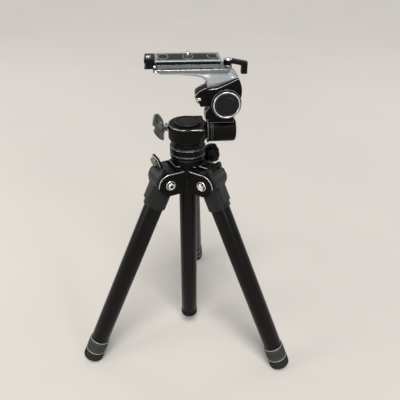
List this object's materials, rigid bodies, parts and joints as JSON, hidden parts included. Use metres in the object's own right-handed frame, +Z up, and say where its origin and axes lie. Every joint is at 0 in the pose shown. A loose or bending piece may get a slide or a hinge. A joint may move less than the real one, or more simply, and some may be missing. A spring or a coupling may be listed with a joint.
{
  "type": "camera tripod",
  "caption": "Compact tripod with retracted telescopic legs, sliding centre column, pan and tilt head and quick release camera plate",
  "frame": {"origin": "middle of the part's bounding box, on the floor that the three feet stand on", "axes": "+Z up along the centre column, +X to the right of the front, -Y towards the front, where the left and right legs stand"},
  "size_m": [0.298, 0.2618, 0.4251],
  "materials": {
    "black_casting": "satin",
    "silver_casting": "satin",
    "black_tube": "gloss",
    "inner_tube": "satin",
    "latch_metal": "satin",
    "plate_metal": "satin",
    "grip_rubber": "matte",
    "foot_rubber": "matte",
    "knob_plastic": "satin",
    "dark_plastic": "satin",
    "bearing_plastic": "matte",
    "bright_steel": "gloss",
    "plain_steel": "satin",
    "brass_insert": "satin"
  },
  "bodies": {
    "spider": {"spider": "black_casting", "column_bush": "bearing_plastic", "leg_pivot_bolts": "bright_steel", "leg_pivot_nuts": "bright_steel"},
    "column_lock": {"column_lock_knob": "dark_plastic", "column_lock_screw": "plain_steel"},
    "column": {"column_tube": "black_tube", "column_end_cap": "dark_plastic", "column_head_seat": "black_casting", "pan_base": "black_casting", "pan_washer": "bearing_plastic", "pan_spindle": "plain_steel"},
    "pan": {"pan_housing": "black_casting", "pan_cap": "dark_plastic", "side_tilt_spindle": "plain_steel"},
    "wing": {"wing_knob": "knob_plastic", "wing_screw": "plain_steel"},
    "side_tilt": {"side_tilt_body": "black_casting", "tilt_axle": "plain_steel", "drum_ring": "plate_metal", "drum_disc": "dark_plastic", "tilt_axle_cover": "latch_metal"},
    "tilt": {"tilt_shell": "black_casting", "platform_arm": "silver_casting", "handle_socket_insert": "brass_insert", "clamp_base": "silver_casting", "lever_pin": "bright_steel", "plate_stop": "latch_metal"},
    "lever": {"clamp_lever": "latch_metal"},
    "plate": {"release_plate": "plate_metal", "plate_pad": "grip_rubber"},
    "camera_screw": {"camera_screw": "bright_steel"},
    "button": {"release_button": "bright_steel"},
    "left_leg": {"left_leg_casting": "black_casting", "left_outer_tube": "black_tube"},
    "left_second": {"left_second_tube": "inner_tube"},
    "left_third": {"left_third_tube": "inner_tube"},
    "left_foot": {"left_foot_tube": "inner_tube", "left_lock_wedge": "bearing_plastic"},
    "left_dial": {"left_foot_grip": "grip_rubber", "left_rubber_foot": "foot_rubber"},
    "left_latch": {"left_angle_latch": "latch_metal"},
    "right_leg": {"right_leg_casting": "black_casting", "right_outer_tube": "black_tube"},
    "right_second": {"right_second_tube": "inner_tube"},
    "right_third": {"right_third_tube": "inner_tube"},
    "right_foot": {"right_foot_tube": "inner_tube", "right_lock_wedge": "bearing_plastic"},
    "right_dial": {"right_foot_grip": "grip_rubber", "right_rubber_foot": "foot_rubber"},
    "right_latch": {"right_angle_latch": "latch_metal"},
    "back_leg": {"back_leg_casting": "black_casting", "back_outer_tube": "black_tube"},
    "back_second": {"back_second_tube": "inner_tube"},
    "back_third": {"back_third_tube": "inner_tube"},
    "back_foot": {"back_foot_tube": "inner_tube", "back_lock_wedge": "bearing_plastic"},
    "back_dial": {"back_foot_grip": "grip_rubber", "back_rubber_foot": "foot_rubber"},
    "back_latch": {"back_angle_latch": "latch_metal"}
  },
  "joints": [
    {"name": "column_lock_turn", "type": "hinge", "parent": "spider", "child": "column_lock", "pos_m": [0, -0.03881, 0.29405], "axis": [0.866, 0.5, 0], "range_deg": [0, 270]},
    {"name": "column_slide", "type": "slide", "parent": "spider", "child": "column", "axis": [0, 0, 1], "range_m": [0, 0.226]},
    {"name": "pan_turn", "type": "hinge", "parent": "column", "child": "pan", "pos_m": [0, -0.03881, 0.33], "axis": [0, 0, 1], "continuous": true},
    {"name": "pan_lock_turn", "type": "hinge", "parent": "pan", "child": "wing", "pos_m": [-0.02978, -0.04247, 0.33705], "axis": [-0.9925, -0.1219, 0], "range_deg": [0, 180]},
    {"name": "side_tilt", "type": "hinge", "parent": "pan", "child": "side_tilt", "pos_m": [0.0397, -0.03394, 0.33205], "axis": [0.9925, 0.1219, 0], "range_deg": [-30, 90]},
    {"name": "tilt", "type": "hinge", "parent": "side_tilt", "child": "tilt", "pos_m": [0.04367, -0.03345, 0.37055], "axis": [-0.1219, 0.9925, 0], "range_deg": [-20, 90]},
    {"name": "clamp_lever_turn", "type": "hinge", "parent": "tilt", "child": "lever", "pos_m": [0.04526, -0.03326, 0.41255], "axis": [0, 0, 1], "range_deg": [0, 35]},
    {"name": "plate_lift", "type": "slide", "parent": "tilt", "child": "plate", "axis": [0, 0, 1], "range_m": [0, 0.03]},
    {"name": "camera_screw_turn", "type": "hinge", "parent": "plate", "child": "camera_screw", "pos_m": [0.00089, -0.0387, 0.42005], "axis": [0, 0, 1], "continuous": true},
    {"name": "release_button_press", "type": "slide", "parent": "tilt", "child": "button", "axis": [0, 0, -1], "range_m": [0, 0.0018], "stiffness_N_per_m": 300, "springref_m": -0.0006},
    {"name": "left_leg_fold", "type": "hinge", "parent": "spider", "child": "left_leg", "pos_m": [-0.02797, -0.05496, 0.27225], "axis": [0.5, -0.866, 0], "range_deg": [0, 25]},
    {"name": "left_second_slide", "type": "slide", "parent": "left_leg", "child": "left_second", "axis": [-0.3687, -0.2129, -0.9048], "range_m": [0, 0.195]},
    {"name": "left_third_slide", "type": "slide", "parent": "left_second", "child": "left_third", "axis": [-0.3687, -0.2129, -0.9048], "range_m": [0, 0.19]},
    {"name": "left_foot_slide", "type": "slide", "parent": "left_third", "child": "left_foot", "axis": [-0.3687, -0.2129, -0.9048], "range_m": [0, 0.185]},
    {"name": "left_dial_turn", "type": "hinge", "parent": "left_foot", "child": "left_dial", "pos_m": [-0.13177, -0.11489, 0.01755], "axis": [-0.3687, -0.2129, -0.9048], "range_deg": [0, 60]},
    {"name": "left_latch_turn", "type": "hinge", "parent": "left_leg", "child": "left_latch", "pos_m": [-0.0329, -0.05781, 0.29118], "axis": [0.5, -0.866, 0], "range_deg": [-108, 0]},
    {"name": "right_leg_fold", "type": "hinge", "parent": "spider", "child": "right_leg", "pos_m": [0.02797, -0.05496, 0.27225], "axis": [0.5, 0.866, 0], "range_deg": [0, 25]},
    {"name": "right_second_slide", "type": "slide", "parent": "right_leg", "child": "right_second", "axis": [0.3687, -0.2129, -0.9048], "range_m": [0, 0.195]},
    {"name": "right_third_slide", "type": "slide", "parent": "right_second", "child": "right_third", "axis": [0.3687, -0.2129, -0.9048], "range_m": [0, 0.19]},
    {"name": "right_foot_slide", "type": "slide", "parent": "right_third", "child": "right_foot", "axis": [0.3687, -0.2129, -0.9048], "range_m": [0, 0.185]},
    {"name": "right_dial_turn", "type": "hinge", "parent": "right_foot", "child": "right_dial", "pos_m": [0.13177, -0.11489, 0.01755], "axis": [0.3687, -0.2129, -0.9048], "range_deg": [0, 60]},
    {"name": "right_latch_turn", "type": "hinge", "parent": "right_leg", "child": "right_latch", "pos_m": [0.0329, -0.05781, 0.29118], "axis": [0.5, 0.866, 0], "range_deg": [0, 108]},
    {"name": "back_leg_fold", "type": "hinge", "parent": "spider", "child": "back_leg", "pos_m": [0, -0.00651, 0.27225], "axis": [-1, 0, 0], "range_deg": [0, 25]},
    {"name": "back_second_slide", "type": "slide", "parent": "back_leg", "child": "back_second", "axis": [0, 0.4258, -0.9048], "range_m": [0, 0.195]},
    {"name": "back_third_slide", "type": "slide", "parent": "back_second", "child": "back_third", "axis": [0, 0.4258, -0.9048], "range_m": [0, 0.19]},
    {"name": "back_foot_slide", "type": "slide", "parent": "back_third", "child": "back_foot", "axis": [0, 0.4258, -0.9048], "range_m": [0, 0.185]},
    {"name": "back_dial_turn", "type": "hinge", "parent": "back_foot", "child": "back_dial", "pos_m": [0, 0.11334, 0.01755], "axis": [0, 0.4258, -0.9048], "range_deg": [0, 60]},
    {"name": "back_latch_turn", "type": "hinge", "parent": "back_leg", "child": "back_latch", "pos_m": [0, -0.00083, 0.29118], "axis": [-1, 0, 0], "range_deg": [0, 108]}
  ]
}
